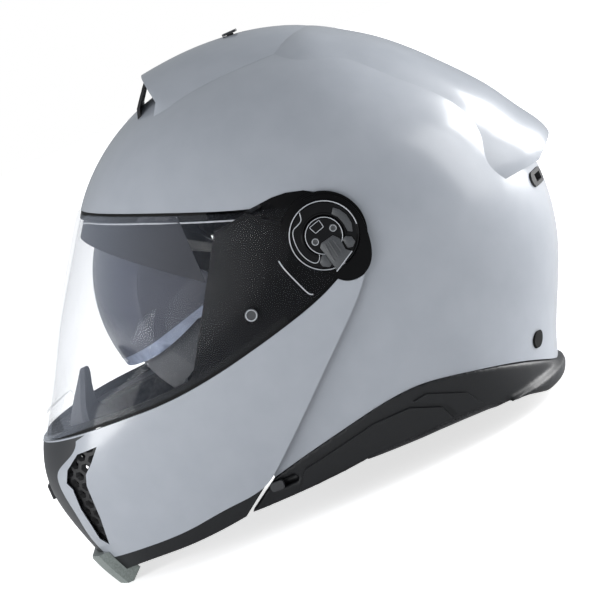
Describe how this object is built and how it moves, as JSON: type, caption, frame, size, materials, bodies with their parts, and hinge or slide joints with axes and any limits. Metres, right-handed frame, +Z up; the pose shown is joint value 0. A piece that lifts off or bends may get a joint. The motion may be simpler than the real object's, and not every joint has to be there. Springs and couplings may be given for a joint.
{
  "type": "modular motorcycle helmet",
  "caption": "Flip-up motorcycle helmet with a clear visor, a drop-down sun visor, closable vents, a padded lining and a ratchet-buckle chin strap.",
  "frame": {"origin": "on the table under the middle of the helmet's bounding box", "axes": "-X is the way the face looks, +X the back, -Y the wearer's left, +Z up"},
  "size_m": [0.3559, 0.2556, 0.2685],
  "materials": {
    "paint": "gloss",
    "black_rubber": "matt",
    "grille_black": "matt",
    "smoked_lens": "gloss",
    "clear_lens": "gloss",
    "steel": "satin",
    "foam": "matt",
    "lining": "matt",
    "neck_fabric": "matt",
    "webbing": "matt",
    "tongue_plastic": "matt",
    "grey_soft": "matt",
    "red_plastic": "satin",
    "hub_grey": "satin",
    "hub_black": "satin",
    "satin_black": "satin"
  },
  "bodies": {
    "helmet": {"outer_shell": "paint", "rear_plugs": "black_rubber", "exhaust_grille_left": "grille_black", "exhaust_grille_right": "grille_black", "sun_visor_pins": "steel", "foam_liner": "foam", "strap_rivets": "steel", "pivot_plates": "steel", "pivot_pins": "steel", "base_trim": "satin_black", "intercom_cover_left": "satin_black", "intercom_cover_right": "satin_black", "rim_cover_left": "satin_black", "rim_cover_right": "satin_black", "brow_seal": "black_rubber", "top_vent_cover": "paint", "top_vent_grille": "grille_black", "crown_pad": "lining", "cheek_pad_left": "lining", "cheek_pad_right": "lining", "neck_roll": "neck_fabric", "chin_strap_left": "webbing", "chin_strap_right": "webbing", "buckle_body": "steel", "strap_tongue": "tongue_plastic", "latch_strikers": "steel"},
    "chin": {"chin_centre": "satin_black", "chin_bar": "paint", "chin_vent_grille_left": "grille_black", "chin_vent_grille_right": "grille_black", "side_frame_left": "satin_black", "side_frame_right": "satin_black", "arm_cap_left": "satin_black", "arm_cap_right": "satin_black", "visor_boss_left": "hub_black", "visor_boss_right": "hub_black", "visor_seal": "black_rubber", "chin_trim": "satin_black", "chin_curtain": "grey_soft", "chin_foam": "foam", "demist_grille": "grille_black", "breath_guard": "grey_soft"},
    "face_visor": {"visor": "clear_lens", "visor_hub_left": "hub_black", "visor_hub_right": "hub_black", "lens_pins": "hub_black"},
    "sun_lens": {"sun_visor": "smoked_lens"},
    "sun_slider": {"sun_visor_slider": "satin_black"},
    "chin_button": {"release_button": "red_plastic"},
    "hook_left": {"latch_hook_left": "steel"},
    "hook_right": {"latch_hook_right": "steel"},
    "chin_slider": {"chin_vent_slider": "satin_black"},
    "top_slider": {"top_vent_slider": "satin_black"},
    "lever_left": {"release_lever_left": "hub_grey"},
    "lever_right": {"release_lever_right": "hub_grey"},
    "buckle_latch": {"buckle_lever": "steel"}
  },
  "joints": [
    {"name": "chin_bar_flip", "type": "hinge", "parent": "helmet", "child": "chin", "pos_m": [0.03585, 0, 0.14763], "axis": [0, 1, 0], "range_deg": [0, 88]},
    {"name": "visor_tilt", "type": "hinge", "parent": "chin", "child": "face_visor", "pos_m": [0.03585, 0, 0.14763], "axis": [0, 1, 0], "range_deg": [0, 45]},
    {"name": "sun_visor_slider_slide", "type": "slide", "parent": "helmet", "child": "sun_slider", "axis": [0.9816, -0.1908, 0], "range_m": [0, 0.01]},
    {"name": "sun_visor_tilt", "type": "hinge", "parent": "helmet", "child": "sun_lens", "pos_m": [-0.02343, 0, 0.13965], "axis": [0, 1, 0], "range_deg": [0, 52]},
    {"name": "release_button_press", "type": "slide", "parent": "chin", "child": "chin_button", "axis": [-1, 0, 0], "range_m": [0, 0.003], "stiffness_N_per_m": 900, "springref_m": -0.001},
    {"name": "latch_hook_left_turn", "type": "hinge", "parent": "chin", "child": "hook_left", "pos_m": [-0.08236, -0.086, 0.05985], "axis": [0, 1, 0], "range_deg": [0, 18]},
    {"name": "latch_hook_right_turn", "type": "hinge", "parent": "chin", "child": "hook_right", "pos_m": [-0.08236, 0.086, 0.05985], "axis": [0, 1, 0], "range_deg": [0, 18]},
    {"name": "chin_vent_slide", "type": "slide", "parent": "chin", "child": "chin_slider", "axis": [0, 0, 1], "range_m": [0, 0.005]},
    {"name": "top_vent_slide", "type": "slide", "parent": "helmet", "child": "top_slider", "axis": [1, 0, 0], "range_m": [0, 0.008]},
    {"name": "release_lever_left_turn", "type": "hinge", "parent": "chin", "child": "lever_left", "pos_m": [0.03585, -0.1268, 0.14763], "axis": [0, 1, 0], "range_deg": [0, 12], "stiffness_Nm_per_rad": 0.3, "springref_deg": -2.86},
    {"name": "release_lever_right_turn", "type": "hinge", "parent": "chin", "child": "lever_right", "pos_m": [0.03585, 0.1268, 0.14763], "axis": [0, 1, 0], "range_deg": [0, 12], "stiffness_Nm_per_rad": 0.3, "springref_deg": -2.86},
    {"name": "buckle_lever_turn", "type": "hinge", "parent": "helmet", "child": "buckle_latch", "pos_m": [0.01775, -0.052, 0.0238], "axis": [-1, 0, 0], "range_deg": [0, 40], "stiffness_Nm_per_rad": 0.05, "springref_deg": -5.73}
  ],
  "couplings": [
    {"joint": "sun_visor_tilt", "follows": "sun_visor_slider_slide", "rad_per_m": 90.7},
    {"joint": "latch_hook_left_turn", "follows": "release_button_press", "rad_per_m": 104.7},
    {"joint": "latch_hook_right_turn", "follows": "release_button_press", "rad_per_m": 104.7}
  ]
}
